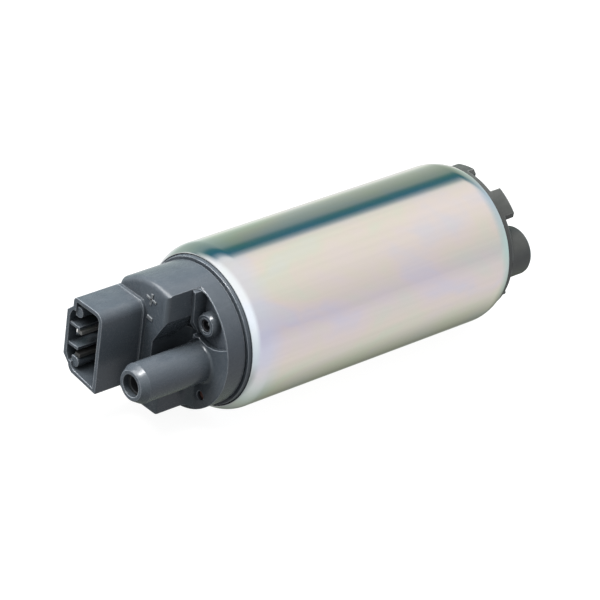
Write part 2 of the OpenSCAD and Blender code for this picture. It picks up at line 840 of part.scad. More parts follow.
// The closed-ring impeller: chevron vane windows all round, a D bore and balance holes
module impeller() {
    mid = (chamber_in + chamber_out) / 2;
    color("saddlebrown") difference() {
        bar(impeller_r, mid - impeller_t / 2, mid + impeller_t / 2);
        for (i = [0:vanes - 1]) translate([mid, 0, 0]) rotate([i * 360 / vanes, 0, 0]) {
            vane_slot(1);
            vane_slot(-1);
        }
        difference() {
            bar(shaft_r + seat, mid - impeller_t, mid + impeller_t);
            translate([mid - impeller_t, shaft_r - flat_depth + seat, -shaft_r - 1])
                cube([2 * impeller_t, shaft_r, 2 * shaft_r + 2]);
        }
        for (a = [60, 180, 300])
            bar(balance_hole_r, mid - impeller_t, mid + impeller_t, balance_r * [cos(a), sin(a)]);
        // The relieved faces between the hub and the vanes
        for (s = [-1, 1]) translate([s * (impeller_t / 2 + 0.3), 0, 0])
            along(mid - 0.55, mid + 0.55) ring2(vane_in - 1.2, hub_r + 1.6);
    }
}
// The plate behind the impeller, with its rim, flow channel and bush seat
module pump_body() {
    color("lightgray") difference() {
        along(chamber_in, body_x) circle(bore_r - play);
        bar(chamber_r, chamber_in - 1, chamber_out);
        bar(bush_out + seat, chamber_out + bush_step, body_x + 1);
        bar(shaft_r + shaft_play, chamber_in, body_x);
        turned([0, 0], channel_arc, channel_from) translate([channel_r, chamber_out])
            circle(channel_half);
        // The way out to the motor
        rotate([outlet_turn, 0, 0]) bar(outlet_hole_r, chamber_out - 1, body_x + 1, [0, channel_r]);
        // A groove that takes the weight off the motor side
        along(body_x - balance_depth, body_x + 1) difference() {
            ring2(bore_r - 3, bush_out + 2);
            rotate(90 + outlet_turn) slice(-balance_arc, balance_arc);
        }
    }
}
// Outline of a locating lug, in Y and Z
module lug_outline(arc) {
    intersection() {
        ring2(inlet_lip_r - play, inlet_lip_r - lug_depth);
        slice(arc[0], arc[1]);
        rotate(arc[0]) difference() {
            circle(can_r);
            translate([inlet_lip_r, -play]) rotate(45) square(lug_bevel, center = true);
        }
    }
}
// The inlet side of the pump, with its port, locating lugs, vent and thrust pad
module pump_cover() {
    r0 = inlet_lip_r - play;
    color("dimgray") difference() {
        union() {
            turned() polygon([[0, chamber_in - seat], [bore_r - play, chamber_in - seat],
                [bore_r - play, inlet_x + lip_bevel + lip_slope + play],
                [r0, inlet_x + lip_bevel + play], [r0, cover_face + 0.3], [r0 - 0.3, cover_face],
                [0, cover_face]]);
            turned(port_at) polygon(concat([[0, cover_face + weld], [0, inlet_x - port_h]],
                round_to([port_r - port_round, inlet_x - port_h + port_round], port_round, -90, 0, 4),
                [[port_r, cover_face + weld]]));
            along(inlet_x - lug_h, cover_face + weld) lug_outline(lug_arc);
            along(inlet_x - small_lug_h, cover_face + weld) lug_outline(small_lug_arc);
            bar(nub_r, cover_face - nub_h, cover_face + weld,
                (r0 - nub_r - weld) * [cos(nub_angle), sin(nub_angle)]);
        }
        // The inlet bore and the channel that it feeds
        bar(port_bore / 2, inlet_x - port_h - 1, inlet_x - 1, port_at);
        bar(inlet_hole_r, inlet_x - 2, chamber_in + 1, channel_r * [cos(inlet_turn), sin(inlet_turn)]);
        turned([0, 0], channel_arc, channel_from) translate([channel_r, chamber_in])
            circle(channel_half);
        bar(pad_r + seat, shaft_foot - pad_t - seat, chamber_in + 1);
        rotate([vent_turn, 0, 0]) bar(vent_r, cover_face - 1, chamber_in + 1, [channel_r - vent_in, 0]);
    }
}
module thrust_pad() {
    color("silver") bar(pad_r, shaft_foot - pad_t, shaft_foot - bush_gap);
}

housing_can();
outlet_cover();
cover_seal();
positive_terminal();
negative_terminal();
positive_choke();
negative_choke();
check_valve_retainer();
check_valve_poppet();
check_valve_spring();
relief_valve_retainer();
relief_valve_ball();
relief_valve_spring();
bearing_holder();
outlet_bearing();
inlet_bearing();
brush_a();
brush_b();
brush_spring_a();
brush_spring_b();
magnet_upper();
magnet_lower();
magnet_clips();
rotor_shaft();
armature_core();
coil_bobbins();
armature_windings();
commutator_base();
commutator_segments();
thrust_washers();
impeller();
pump_body();
pump_cover();
thrust_pad();
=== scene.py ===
"""Electric fuel pump, lying on its side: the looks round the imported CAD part.

Row frame, metres: the pump's axis is X, outlet and connector point to +X, +Z is up.
"""
import json
import math

import bmesh
import bpy
from mathutils import Matrix, Vector


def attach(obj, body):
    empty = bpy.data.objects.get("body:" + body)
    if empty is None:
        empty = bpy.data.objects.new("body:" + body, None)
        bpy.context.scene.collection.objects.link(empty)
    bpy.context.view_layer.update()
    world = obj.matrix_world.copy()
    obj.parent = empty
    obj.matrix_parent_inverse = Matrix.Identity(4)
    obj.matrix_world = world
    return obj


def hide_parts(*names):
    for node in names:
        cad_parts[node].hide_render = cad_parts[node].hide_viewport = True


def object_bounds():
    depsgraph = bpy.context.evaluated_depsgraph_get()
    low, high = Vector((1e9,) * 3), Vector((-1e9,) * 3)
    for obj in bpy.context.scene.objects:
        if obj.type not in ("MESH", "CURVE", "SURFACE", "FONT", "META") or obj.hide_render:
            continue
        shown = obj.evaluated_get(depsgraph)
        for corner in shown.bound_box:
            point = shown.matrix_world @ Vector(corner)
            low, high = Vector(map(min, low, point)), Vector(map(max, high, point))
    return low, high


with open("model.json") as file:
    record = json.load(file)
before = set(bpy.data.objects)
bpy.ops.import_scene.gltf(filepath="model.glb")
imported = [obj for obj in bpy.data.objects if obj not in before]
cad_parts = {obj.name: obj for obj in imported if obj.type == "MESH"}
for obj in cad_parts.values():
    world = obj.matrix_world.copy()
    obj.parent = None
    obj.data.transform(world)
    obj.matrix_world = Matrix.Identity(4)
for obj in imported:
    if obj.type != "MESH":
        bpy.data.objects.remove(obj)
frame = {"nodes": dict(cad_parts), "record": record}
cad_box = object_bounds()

MM = 0.001
NODES = frame["nodes"]

# Places of the outlet cover's features, in millimetres: Y and Z across the axis, stations along X
COLLAR_FACE = 6.0
BLOCK_FACE = 15.0
BLOCK_SIDE = 5.0
RELIEF_AT = (8.3, 7.45)
RELIEF_MOUTH = 6.48
HOLE_AT = (8.8, -10.2)


# Node trees

class Bench:
    """A short way to place and wire the nodes of one tree."""

    def __init__(self, tree):
        self.tree = tree
        self.at = 0

    def add(self, kind, settings=None, **inputs):
        node = self.tree.nodes.new(kind)
        self.at += 1
        node.location = (180 * (self.at % 9), -230 * (self.at // 9))
        for key, value in (settings or {}).items():
            setattr(node, key, value)
        for key, value in inputs.items():
            self.feed(self.socket(node, key), value)
        return node

    @staticmethod
    def socket(node, key):
        """An input by its name with _ for a blank, or by its number as i0, i1."""
        if key[0] == "i" and key[1:].isdigit():
            return node.inputs[int(key[1:])]
        return node.inputs[key.replace("_", " ")]

    def feed(self, socket, value):
        if isinstance(value, bpy.types.NodeSocket):
            self.tree.links.new(value, socket)
        elif isinstance(value, bpy.types.Node):
            self.tree.links.new(value.outputs[0], socket)
        elif isinstance(value, (tuple, list)) and len(value) == 3 and socket.type == "RGBA":
            socket.default_value = (*value, 1)
        else:
            socket.default_value = value

    def math(self, what, a, b=0.0, c=0.0):
        return self.add("ShaderNodeMath", {"operation": what}, i0=a, i1=b, i2=c).outputs[0]

    def whole(self, what, a, b):
        """Arithmetic on whole numbers, for counting rows and steps."""
        return self.add("FunctionNodeIntegerMath", {"operation": what}, i0=a, i1=b).outputs[0]

    def dot(self, a, b):
        node = self.add("ShaderNodeVectorMath", {"operation": "DOT_PRODUCT"}, i0=a, i1=b)
        return node.outputs["Value"]

    def spread(self, value, low, high, to_low=0.0, to_high=1.0):
        return self.add("ShaderNodeMapRange", {"clamp": True}, Value=value, From_Min=low,
                        From_Max=high, To_Min=to_low, To_Max=to_high).outputs[0]

    def mix(self, share, a, b, blend="MIX"):
        node = self.add("ShaderNodeMix", {"data_type": "RGBA", "blend_type": blend}, i0=share)
        self.feed(node.inputs[6], a)
        self.feed(node.inputs[7], b)
        return node.outputs[2]

    def grey(self, value):
        return self.add("ShaderNodeCombineColor", i0=value, i1=value, i2=value).outputs[0]

    def shaded(self, colour, value):
        """A colour made darker or lighter by a value."""
        return self.mix(1.0, colour, self.grey(value), "MULTIPLY")

    def bump(self, strength, depth, height, **more):
        """A relief of the given depth in millimetres."""
        return self.add("ShaderNodeBump", Strength=strength, Distance=depth * MM, Height=height,
                        **more).outputs[0]

    def ramp(self, share, stops):
        node = self.add("ShaderNodeValToRGB", Fac=share)
        band = node.color_ramp
        while len(band.elements) < len(stops):
            band.elements.new(0.5)
        for element, (place, colour) in zip(band.elements, stops):
            element.position = place
            element.color = (*colour, 1)
        return node.outputs[0]

    def noise(self, at, scale, detail=3.0, rough=0.5, warp=0.0):
        node = self.add("ShaderNodeTexNoise", Vector=at, Scale=scale, Detail=detail,
                        Roughness=rough, Distortion=warp)
        return node.outputs["Fac"]

    def place(self, stretch=(1, 1, 1)):
        """Object coordinates in millimetres, stretched along the row's axes."""
        at = self.add("ShaderNodeTexCoord").outputs["Object"]
        scale = tuple(s / MM for s in stretch)
        return self.add("ShaderNodeMapping", Vector=at, Scale=scale).outputs[0]


def shared_effect(name, takes, gives, normals=()):
    """A new shader node group with named sockets: its bench, its inputs and its outputs."""
    tree = bpy.data.node_groups.new(name, "ShaderNodeTree")
    for label, start in takes.items():
        socket = tree.interface.new_socket(label, in_out="INPUT", socket_type="NodeSocketFloat")
        socket.default_value = start
    for label in gives:
        tree.interface.new_socket(label, in_out="OUTPUT", socket_type="NodeSocketFloat")
    for label in normals:
        tree.interface.new_socket(label, in_out="OUTPUT", socket_type="NodeSocketVector")
    bench = Bench(tree)
    inside = bench.add("NodeGroupInput")
    outside = tree.nodes.new("NodeGroupOutput")
    return bench, inside.outputs, outside.inputs


def moulding_effect():
    """Fine spark-eroded grain, flow marks and slow shade drift of an injection moulding."""
    b, take, give = shared_effect("moulding_grain", {"Grain": 1.0, "Drift": 0.12},
                                  ("Shade", "Height", "Gloss Mask"))
    fine = b.noise(b.place(), 6.5, 4.0, 0.65)
    speck = b.noise(b.place(), 24.0, 2.0, 0.5)
    flow = b.noise(b.place((0.16, 0.4, 0.4)), 0.9, 3.0, 0.6, 0.8)
    slow = b.noise(b.place(), 0.16, 2.0)
    shade = b.math("ADD", b.math("MULTIPLY", b.math("SUBTRACT", slow, 0.5), take["Drift"]),
                   b.math("MULTIPLY", b.math("SUBTRACT", flow, 0.5),
                          b.math("MULTIPLY", take["Drift"], 0.8)))
    b.feed(give["Shade"], b.math("ADD", shade, 1.0))
    grain = b.math("ADD", b.math("MULTIPLY", fine, 0.6), b.math("MULTIPLY", speck, 0.4))
    b.feed(give["Height"], b.math("MULTIPLY", grain, take["Grain"]))
    gloss = b.math("ADD", fine, b.math("MULTIPLY", flow, 0.6))
    b.feed(give["Gloss Mask"], b.spread(gloss, 0.55, 1.05))
    return b.tree


def edge_effect():
    """Rounds sharp edges for the light and gives a mask for a painted highlight on the outer ones,
    broken up by noise.
    """
    b, take, give = shared_effect("soft_edges", {"Radius": 0.3 * MM, "Nicks": 0.5}, ("Edge Highlight",),
                                  ("Normal",))
    soft = b.add("ShaderNodeBevel", {"samples": 6}, Radius=take["Radius"]).outputs[0]
    flat = b.add("ShaderNodeNewGeometry").outputs["Normal"]
    turn = b.math("SUBTRACT", 1.0, b.dot(soft, flat))
    highlight_breakup = b.spread(b.noise(b.place(), 2.2, 4.0, 0.7), 0.3, 0.7)
    keep = b.math("SUBTRACT", 1.0, b.math("MULTIPLY", take["Nicks"], b.math("SUBTRACT", 1.0, highlight_breakup)))
    open_to = b.add("ShaderNodeAmbientOcclusion", {"samples": 6}, Distance=0.3 * MM).outputs["AO"]
    keep = b.math("MULTIPLY", keep, b.spread(open_to, 0.62, 0.9))
    # Mask of the painted highlight: outer edges only, broken up by noise
    b.feed(give["Edge Highlight"], b.math("MULTIPLY", b.spread(turn, 0.015, 0.16), keep))
    b.feed(give["Normal"], soft)
    return b.tree


def dust_effect():
    """A thin settled film on what faces up, thicker in patches."""
    b, take, give = shared_effect("settled_film", {"Amount": 0.2}, ("Film",))
    up = b.dot(b.add("ShaderNodeNewGeometry").outputs["Normal"], (0, 0, 1))
    patch = b.spread(b.noise(b.place(), 0.35, 4.0, 0.6), 0.35, 0.75)
    b.feed(give["Film"], b.math("MULTIPLY", b.math("MULTIPLY", b.spread(up, 0.1, 0.95), patch),
                                take["Amount"]))
    return b.tree


def turned_effect():
    """Rings left by a lathe round the pump's axis, faint and broken up in places."""
    b, take, give = shared_effect("lathe_rings", {"Pitch": 0.12, "Depth": 1.0}, ("Height", "Shade"))
    at = b.add("ShaderNodeSeparateXYZ", i0=b.place())
    across = b.math("SQRT", b.math("ADD", b.math("MULTIPLY", at.outputs[1], at.outputs[1]),
                                   b.math("MULTIPLY", at.outputs[2], at.outputs[2])))
    station = b.math("ADD", b.math("ADD", across, at.outputs[0]), b.math("MULTIPLY",
                     b.noise(b.place(), 0.5, 2.0), 0.2))
    ring = b.math("SINE", b.math("DIVIDE", b.math("MULTIPLY", station, 2 * math.pi), take["Pitch"]))
    broken = b.math("MULTIPLY", ring, b.spread(b.noise(b.place(), 1.4, 3.0), 0.3, 0.7))
    b.feed(give["Height"], b.math("MULTIPLY", broken, take["Depth"]))
    b.feed(give["Shade"], b.math("ADD", 1.0, b.math("MULTIPLY", broken, 0.04)))
    return b.tree


MOULDING = moulding_effect()
EDGES = edge_effect()
FILM = dust_effect()
RINGS = turned_effect()
DUST = (0.42, 0.42, 0.41)
# How far the painted shade in the plastics' nooks reaches
PAINTED_SHADE_REACH = 9 * MM


def effect(bench, tree, **values):
    node = bench.add("ShaderNodeGroup", {"node_tree": tree})
    for key, value in values.items():
        bench.feed(node.inputs[key.replace("_", " ")], value)
    return node.outputs


def new_material(name, **sockets):
    """A material with one Principled shader; its uniform values are set on the sockets."""
    material = bpy.data.materials.new(name)
    material.use_nodes = True
    tree = material.node_tree
    shader = tree.nodes["Principled BSDF"]
    for key, value in sockets.items():
        Bench.socket(shader, key).default_value = value
    return material, Bench(tree), shader


def moulded(name, colour, edge_highlight_colour, rough=(0.42, 0.56), grain=0.6, drift=0.12,
            radius=0.25, film=0.1, specular=0.5, shade=0.0):
    """An injection moulded plastic with its grain, a painted highlight on its outer edges, painted
    shade in its nooks and a trace of dust.
    """
    material, b, shader = new_material(name, Specular_IOR_Level=specular)
    grained = effect(b, MOULDING, Grain=grain, Drift=drift)
    edges = effect(b, EDGES, Radius=radius * MM, Nicks=0.4)
    dusty = effect(b, FILM, Amount=film)
    body = b.shaded(colour, grained["Shade"])
    # Painted highlight: the outer edges are mixed towards a pale colour
    body = b.mix(edges["Edge Highlight"], body, edge_highlight_colour)
    body = b.mix(dusty["Film"], body, DUST)
    # Painted shade: base colour and reflection grow darker where the surface is closed in, in
    # nooks, recesses and under parts; shade sets how dark
    painted_nook_shade = b.add("ShaderNodeAmbientOcclusion", {"samples": 8}, Distance=PAINTED_SHADE_REACH).outputs["AO"]
    painted_nook_shade = b.spread(painted_nook_shade, 0.25, 0.9, 1 - shade, 1.0)
    b.feed(shader.inputs["Base Color"], b.shaded(body, painted_nook_shade))
    b.feed(shader.inputs["Specular IOR Level"], b.math("MULTIPLY", painted_nook_shade, specular))
    b.feed(shader.inputs["Roughness"], b.spread(grained["Gloss Mask"], 0, 1, *rough))
    b.feed(shader.inputs["Normal"], b.bump(0.25, 0.02, grained["Height"], Normal=edges["Normal"]))
    return material


def metal(name, colour, edge_highlight_colour, rough=(0.25, 0.4), rings=0.0, pitch=0.12, drift=0.1,
          bump=0.2, metallic=1.0):
    """A bare or plated metal with lathe rings, grain and a painted highlight on its edges."""
    material, b, shader = new_material(name, Metallic=metallic)
    grained = effect(b, MOULDING, Grain=0.6, Drift=drift)
    turned = effect(b, RINGS, Pitch=pitch, Depth=rings)
    edges = effect(b, EDGES, Radius=0.15 * MM, Nicks=0.3)
    body = b.shaded(colour, b.math("MULTIPLY", grained["Shade"], turned["Shade"]))
    # Painted highlight: the outer edges are mixed towards a pale colour
    b.feed(shader.inputs["Base Color"], b.mix(edges["Edge Highlight"], body, edge_highlight_colour))
    b.feed(shader.inputs["Roughness"], b.spread(grained["Gloss Mask"], 0, 1, *rough))
    height = b.math("ADD", b.math("MULTIPLY", grained["Height"], 0.5), turned["Height"])
    b.feed(shader.inputs["Normal"], b.bump(bump, 0.01, height, Normal=edges["Normal"]))
    return material


def zinc_plate():
    """The can's bright zinc and chromate film: pastel clouds, bluer towards the outlet's lip."""
    material, b, shader = new_material("iridescent_zinc_plate", Metallic=1.0)
    long_clouds = b.noise(b.place((0.030, 0.07, 0.07)), 1.0, 3.0, 0.5, 0.5)
    patches = b.noise(b.place((0.06, 0.06, 0.06)), 1.0, 4.0, 0.55, 0.8)
    streaks = b.noise(b.place((0.02, 0.9, 0.9)), 1.0, 3.0, 0.6)
    film = b.math("ADD", b.math("MULTIPLY", long_clouds, 0.6), b.math("MULTIPLY", patches, 0.4))
    tone = b.ramp(film, [
        (0.30, (0.66, 0.74, 0.70)), (0.40, (0.70, 0.73, 0.60)), (0.47, (0.77, 0.70, 0.61)),
        (0.53, (0.78, 0.68, 0.67)), (0.60, (0.69, 0.66, 0.76)), (0.70, (0.64, 0.72, 0.74))])
    tone = b.mix(0.45, tone, (0.765, 0.71, 0.655))
    along = b.add("ShaderNodeSeparateXYZ", i0=b.place()).outputs[0]
    tone = b.mix(b.spread(along, -8.0, -3.5, 0.0, 0.5), tone, (0.66, 0.71, 0.82))
    tone = b.shaded(tone, b.spread(streaks, 0.35, 0.65, 0.99, 1.01))
    edges = effect(b, EDGES, Radius=0.3 * MM, Nicks=0.2)
    # Painted highlight: the can's edges are mixed towards a pale colour
    b.feed(shader.inputs["Base Color"], b.mix(edges["Edge Highlight"], tone, (0.82, 0.84, 0.82)))
    grain = b.noise(b.place(), 9.0, 3.0, 0.6)
    wander = b.noise(b.place((0.10, 0.22, 0.22)), 1.0, 2.0)
    b.feed(shader.inputs["Roughness"],
           b.spread(b.math("ADD", grain, patches), 0.7, 1.3, 0.09, 0.14))
    height = b.math("ADD", b.math("MULTIPLY", grain, 0.12), b.math("MULTIPLY", wander, 0.8))
    b.feed(shader.inputs["Normal"], b.bump(0.12, 0.05, height, Normal=edges["Normal"]))
    return material


def stacked_core():
    """Punched sheets of the armature's core: a fine line every half millimetre along the axis."""
    material, b, shader = new_material("stacked_core_sheets", Metallic=1.0)
    along = b.add("ShaderNodeSeparateXYZ", i0=b.place()).outputs[0]
    sheet = b.math("FRACT", b.math("DIVIDE", along, 0.5))
    line = b.math("ADD", b.spread(sheet, 0.0, 0.18, 1, 0), b.spread(sheet, 0.82, 1.0))
    rust = b.spread(b.noise(b.place(), 0.8, 4.0, 0.6), 0.6, 0.8)
    tone = b.mix(line, (0.42, 0.42, 0.44), (0.09, 0.09, 0.1))
    b.feed(shader.inputs["Base Color"], b.mix(rust, tone, (0.33, 0.25, 0.19)))
    b.feed(shader.inputs["Roughness"], b.spread(b.noise(b.place(), 5.0), 0.3, 0.7, 0.35, 0.5))
    b.feed(shader.inputs["Normal"], b.bump(0.6, 0.03, b.math("SUBTRACT", 1.0, line)))
    return material


def enamelled_wire(name, colour, pitch):
    """Close-wound wire under enamel, its turns drawn as rounded ribs with painted shade in the
    valleys between them.
    """
    material, b, shader = new_material(name, Metallic=0.85, Coat_Weight=0.6, Coat_Roughness=0.12)
    across = b.add("ShaderNodeSeparateXYZ", i0=b.place()).outputs[0]
    turns = b.math("FRACT", b.math("DIVIDE", across, pitch))
    crown = b.math("SINE", b.math("MULTIPLY", turns, math.pi))
    warm = b.noise(b.place(), 0.7, 3.0)
    # The valleys between the turns are painted darker: painted shade
    tone = b.mix(b.spread(crown, 0.0, 0.7), tuple(c * 0.25 for c in colour), colour)
    tone = b.mix(b.spread(warm, 0.3, 0.7, 0, 0.5), tone, tuple(c * 0.7 for c in colour))
    b.feed(shader.inputs["Base Color"], tone)
    b.feed(shader.inputs["Roughness"], b.spread(warm, 0.3, 0.7, 0.22, 0.36))
    b.feed(shader.inputs["Normal"], b.bump(0.9, 0.1, crown))
    return material


# Finishes of the record's slots

# The second colour of each moulded or metal finish is the pale colour of its painted edge highlight
COVER_EDGE_HIGHLIGHT = (0.27, 0.295, 0.325)
COVER_ROUGH = (0.22, 0.31)
COVER = moulded("cover_moulding", (0.046, 0.055, 0.065), COVER_EDGE_HIGHLIGHT, rough=COVER_ROUGH,
                radius=0.33, film=0.03, specular=0.3, shade=0.35)
FINISH = {
    "plated_steel": zinc_plate(),
    "cover_plastic": COVER,
    "inlet_plastic": moulded("inlet_moulding", (0.036, 0.038, 0.036), (0.26, 0.265, 0.255),
                             rough=(0.30, 0.46), drift=0.5, radius=0.4, film=0.05, specular=0.4,
                             shade=0.6),
    "seal_rubber": moulded("seal_rubber", (0.02, 0.02, 0.02), (0.035, 0.035, 0.035),
                           rough=(0.6, 0.75), film=0.0),
    "terminal_brass": metal("dull_tin", (0.17, 0.17, 0.168), (0.36, 0.355, 0.35),
                            rough=(0.36, 0.5), metallic=0.45),
    "ferrite_coil": enamelled_wire("choke_wire", (0.52, 0.24, 0.12), 0.8),
    "insert_plastic": moulded("insert_moulding", (0.018, 0.019, 0.021), (0.10, 0.105, 0.11),
                              film=0.0),
    "valve_plastic": moulded("valve_moulding", (0.028, 0.029, 0.031), (0.11, 0.115, 0.12),
                             film=0.0),
    "spring_steel": metal("drawn_spring_wire", (0.56, 0.56, 0.58), (0.8, 0.8, 0.8),
                          rough=(0.18, 0.3)),
    "bright_steel": metal("ground_steel", (0.66, 0.66, 0.68), (0.85, 0.85, 0.85), rings=0.6,
                          pitch=0.08, rough=(0.12, 0.22)),
    "holder_plastic": moulded("natural_moulding", (0.60, 0.54, 0.38), (0.74, 0.69, 0.55), film=0.0),
    "sintered_bronze": metal("sintered_bronze", (0.36, 0.24, 0.13), (0.5, 0.36, 0.2),
                             rough=(0.45, 0.6), drift=0.3, bump=0.5),
    "carbon": moulded("pressed_carbon", (0.022, 0.022, 0.024), (0.06, 0.06, 0.065),
                      rough=(0.3, 0.55), grain=1.2, film=0.0),
    "ferrite": moulded("ground_ferrite", (0.05, 0.05, 0.053), (0.10, 0.10, 0.105),
                       rough=(0.35, 0.6), grain=1.0, film=0.0),
    "core_steel": stacked_core(),
    "copper_wire": enamelled_wire("armature_wire", (0.58, 0.22, 0.08), 0.45),
    "copper": metal("turned_copper", (0.72, 0.36, 0.22), (0.85, 0.5, 0.34), rings=1.0,
                    rough=(0.2, 0.35)),
    "brown_resin": moulded("brown_resin", (0.10, 0.05, 0.028), (0.18, 0.10, 0.06),
                           rough=(0.3, 0.45), film=0.0, drift=0.2),
    "washer_plastic": moulded("washer_moulding", (0.45, 0.36, 0.2), (0.55, 0.47, 0.32), film=0.0),
    "cast_aluminium": metal("machined_casting", (0.60, 0.61, 0.62), (0.8, 0.8, 0.8), rings=0.8,
                            pitch=0.16, rough=(0.28, 0.45)),
}

# Nodes whose look differs from the rest of their slot
OWN_FINISH = {
    "relief_valve_retainer": moulded("black_insert", (0.007, 0.007, 0.008), (0.10, 0.10, 0.105),
                                     film=0.0, specular=0.25),
    # The negative terminal's tin is painted darker than the other terminal: painted shade
    "negative_terminal": metal("tin_in_painted_shade", (0.06, 0.06, 0.06), (0.13, 0.13, 0.125),
                               rough=(0.36, 0.5), metallic=0.5),
}
SLOT_OF = {part["node"]: part["material_slot"] for part in frame["record"]["subparts"]}
BODY_OF = {n: body for body, names in frame["record"]["behaviour"]["bodies"].items() for n in names}


def dress(piece, material):
    piece.data.materials.clear()
    piece.data.materials.append(material)


for node_name, node in NODES.items():
    dress(node, OWN_FINISH.get(node_name, FINISH[SLOT_OF[node_name]]))


# Pieces of the scene

def new_piece(name, mesh, material, node_name, sharp=None):
    """A mesh in the row frame that goes with one CAD node: its body."""
    piece = bpy.data.objects.new(name, mesh)
    bpy.context.scene.collection.objects.link(piece)
    dress(piece, material)
    if sharp is not None:
        mesh.shade_smooth()
        mesh.set_sharp_from_angle(angle=math.radians(sharp))
    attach(piece, BODY_OF[node_name])
    return piece


def arc_points(r0, x0, r1, x1, count=14):
    """Points of a wall that leaves the axis' direction at r0, x0 and rolls in to r1, x1."""
    sag, run = r0 - r1, x1 - x0
    big = (run * run + sag * sag) / (2 * sag)
    turn = math.asin(abs(run) / big)
    return [(r0 - big * (1 - math.cos(turn * i / count)),
             x0 + math.copysign(big, run) * math.sin(turn * i / count)) for i in range(count + 1)]


def closed_mesh(name, bm):
    """A mesh from an edit mesh, which ends here, with all faces turned outwards."""
    mesh = bpy.data.meshes.new(name)
    bmesh.ops.recalc_face_normals(bm, faces=bm.faces)
    bm.to_mesh(mesh)
    bm.free()
    return mesh


def lathe_tree():
    """Geometry Nodes: a closed outline in X and radius, turned round a line along X."""
    tree = bpy.data.node_groups.new("turned_outline", "GeometryNodeTree")
    for label, kind in (("Outline", "Geometry"), ("Steps Around", "Int"), ("Axis Y", "Float"),
                        ("Axis Z", "Float"), ("Finish", "Material")):
        tree.interface.new_socket(label, in_out="INPUT", socket_type="NodeSocket" + kind)
    tree.interface.new_socket("Turned", in_out="OUTPUT", socket_type="NodeSocketGeometry")
    b = Bench(tree)
    take = b.add("NodeGroupInput").outputs
    steps = take["Steps Around"]
    columns = b.whole("ADD", steps, 1)
    size = b.add("GeometryNodeAttributeDomainSize", Geometry=take["Outline"])
    count = size.outputs["Point Count"]
    grid = b.add("GeometryNodeMeshGrid", Vertices_X=b.whole("ADD", count, 1), Vertices_Y=columns)
    index = b.add("GeometryNodeInputIndex").outputs[0]
    row = b.whole("MODULO", b.whole("DIVIDE_FLOOR", index, columns), count)
    step = b.whole("MODULO", b.whole("MODULO", index, columns), steps)
    outline = b.add("GeometryNodeSampleIndex", {"data_type": "FLOAT_VECTOR", "domain": "POINT"},
                    Geometry=take["Outline"], Value=b.add("GeometryNodeInputPosition").outputs[0],
                    Index=row).outputs[0]
    at = b.add("ShaderNodeSeparateXYZ", i0=outline).outputs
    angle = b.math("MULTIPLY", b.math("DIVIDE", step, steps), 2 * math.pi)
    y = b.math("MULTIPLY_ADD", at[1], b.math("COSINE", angle), take["Axis Y"])
    z = b.math("MULTIPLY_ADD", at[1], b.math("SINE", angle), take["Axis Z"])
    place = b.add("ShaderNodeCombineXYZ", i0=at[0], i1=y, i2=z).outputs[0]
    skin = b.add("GeometryNodeSetPosition", Geometry=grid, Position=place)
    skin = b.add("GeometryNodeMergeByDistance", Geometry=skin, Distance=SEAM)
    skin = b.add("GeometryNodeRealizeInstances", Geometry=skin)
    skin = b.add("GeometryNodeSetMaterial", Geometry=skin, Material=take["Finish"])
    b.feed(b.add("NodeGroupOutput").inputs[0], skin)
    return tree


# Metres within which the first and the last step round the axis count as one
SEAM = 1e-8
LATHE = lathe_tree()


def lathe(name, profile, finish, steps=224, axis=(0.0, 0.0)):
    """A closed profile of (radius, station on X) in millimetres, turned round a line along X."""
    outline = bpy.data.meshes.new(name + "_outline")
    outline.from_pydata([(x * MM, r * MM, 0) for r, x in profile], [], [])
    carrier = bpy.data.objects.new(name + "_outline", outline)
    bpy.context.scene.collection.objects.link(carrier)
    turn = carrier.modifiers.new("lathe", "NODES")
    turn.node_group = LATHE
    values = {"Steps Around": steps, "Axis Y": axis[0] * MM, "Axis Z": axis[1] * MM,
              "Finish": finish}
    for socket in LATHE.interface.items_tree:
        if socket.name in values:
            turn[socket.identifier] = values[socket.name]
    view = bpy.context.evaluated_depsgraph_get()
    baked = bpy.data.meshes.new_from_object(carrier.evaluated_get(view))
    carrier.modifiers.clear()
    bpy.data.objects.remove(carrier)
    bm = bmesh.new()
    bm.from_mesh(baked)
    return closed_mesh(name, bm)


def can_skin():
    """The can with its lips rolled in one smooth sweep each."""
    outside, inside = 19.0, 17.8
    outlet_lip = arc_points(outside, -4.1, 17.42, -0.03, 20) + [(17.36, 0.0), (17.3, -0.05)]
    inlet_lip = arc_points(outside, -73.5, 18.05, -77.45)[::-1]
    profile = [(17.5, -77.6)] + inlet_lip + outlet_lip + [
        (17.3, -0.9), (inside, -1.5), (inside, -76.1), (17.5, -76.7)]
    zinc = FINISH["plated_steel"]
    piece = new_piece("can_skin", lathe("can_skin", profile, zinc), zinc, "housing_can", 40)
    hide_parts("housing_can")


def prism(name, outline, low, high):
    """A closed prism along Z over an outline of (x, y) points in millimetres."""
    bm = bmesh.new()
    ends = [[bm.verts.new((x * MM, y * MM, z * MM)) for x, y in outline] for z in (low, high)]
    for ring in ends:
        bm.faces.new(ring)
    for i in range(len(outline)):
        n = (i + 1) % len(outline)
        bm.faces.new((ends[0][i], ends[0][n], ends[1][n], ends[1][i]))
    return closed_mesh(name, bm)


